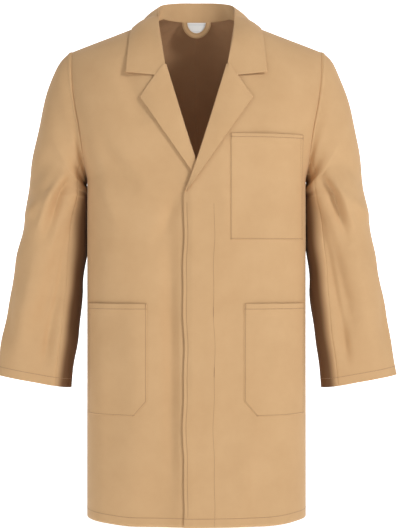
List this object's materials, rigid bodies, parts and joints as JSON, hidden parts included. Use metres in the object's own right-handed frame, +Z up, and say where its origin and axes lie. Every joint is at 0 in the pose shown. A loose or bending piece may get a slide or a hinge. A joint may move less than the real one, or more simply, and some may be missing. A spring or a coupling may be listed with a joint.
{
  "type": "work coat",
  "caption": "Knee-length men's work coat with notched collar, hidden press stud front, two-piece sleeves, patch pockets and hanger loop.",
  "frame": {"origin": "where a hanger carries the coat: on the middle plane, between the shoulders, at the height of the neck points", "axes": "+Z up towards the collar, -Y towards the front of the coat, +X towards the wearer's left"},
  "size_m": [0.7982, 0.2955, 1.0378],
  "materials": {
    "shell_cloth": "matt polycotton twill",
    "facing_cloth": "matt polycotton twill, inner side",
    "interlining": "fused non-woven",
    "label": "white woven satin tape",
    "stud_metal": "nickel-plated"
  },
  "bodies": {
    "root": {"left_front": "shell_cloth", "left_front_side": "shell_cloth", "left_back": "shell_cloth", "left_lapel_turnback": "facing_cloth", "left_lapel_facing": "shell_cloth", "right_front": "shell_cloth", "right_front_side": "shell_cloth", "right_back": "shell_cloth", "right_lapel_turnback": "facing_cloth", "right_lapel_facing": "shell_cloth", "fly_strip": "facing_cloth", "right_facing": "facing_cloth", "stud_post_1": "stud_metal", "stud_ball_1": "stud_metal", "stud_socket_1": "stud_metal", "stud_cap_1": "stud_metal", "chest_pocket": "shell_cloth", "under_collar": "facing_cloth", "collar_interlining": "interlining", "upper_collar": "shell_cloth", "collar_stand": "shell_cloth", "neck_label": "label"},
    "left_front_body": {"left_front_skirt": "shell_cloth", "fly_strip_skirt": "facing_cloth", "left_hip_pocket": "shell_cloth", "stud_socket_2": "stud_metal", "stud_cap_2": "stud_metal", "stud_socket_3": "stud_metal", "stud_cap_3": "stud_metal", "stud_socket_4": "stud_metal", "stud_cap_4": "stud_metal"},
    "right_front_body": {"right_front_skirt": "shell_cloth", "right_facing_skirt": "facing_cloth", "right_hip_pocket": "shell_cloth", "stud_post_2": "stud_metal", "stud_ball_2": "stud_metal", "stud_post_3": "stud_metal", "stud_ball_3": "stud_metal", "stud_post_4": "stud_metal", "stud_ball_4": "stud_metal"},
    "left_sleeve_body": {"left_upper_sleeve": "shell_cloth", "left_under_sleeve": "shell_cloth"},
    "right_sleeve_body": {"right_upper_sleeve": "shell_cloth", "right_under_sleeve": "shell_cloth"},
    "loop_body": {"hanger_loop": "shell_cloth"}
  },
  "joints": [
    {"name": "left_front_swing", "type": "hinge", "parent": "root", "child": "left_front_body", "pos_m": [0.212, -0.06, -0.7], "axis": [0, 0, 1], "range_deg": [0, 65]},
    {"name": "right_front_swing", "type": "hinge", "parent": "root", "child": "right_front_body", "pos_m": [-0.212, -0.06, -0.7], "axis": [0, 0, -1], "range_deg": [0, 32.5]},
    {"name": "left_sleeve_raise", "type": "hinge", "parent": "root", "child": "left_sleeve_body", "pos_m": [0.2485, 0, -0.0605], "axis": [0, -1, 0], "range_deg": [0, 45]},
    {"name": "right_sleeve_raise", "type": "hinge", "parent": "root", "child": "right_sleeve_body", "pos_m": [-0.2485, 0, -0.0605], "axis": [0, 1, 0], "range_deg": [0, 45]},
    {"name": "hanger_loop_flip", "type": "hinge", "parent": "root", "child": "loop_body", "pos_m": [0, 0.0458, 0.005], "axis": [-1, 0, 0], "range_deg": [0, 150]}
  ],
  "couplings": [
    {"joint": "right_front_swing", "follows": "left_front_swing", "ratio": 0.5}
  ]
}
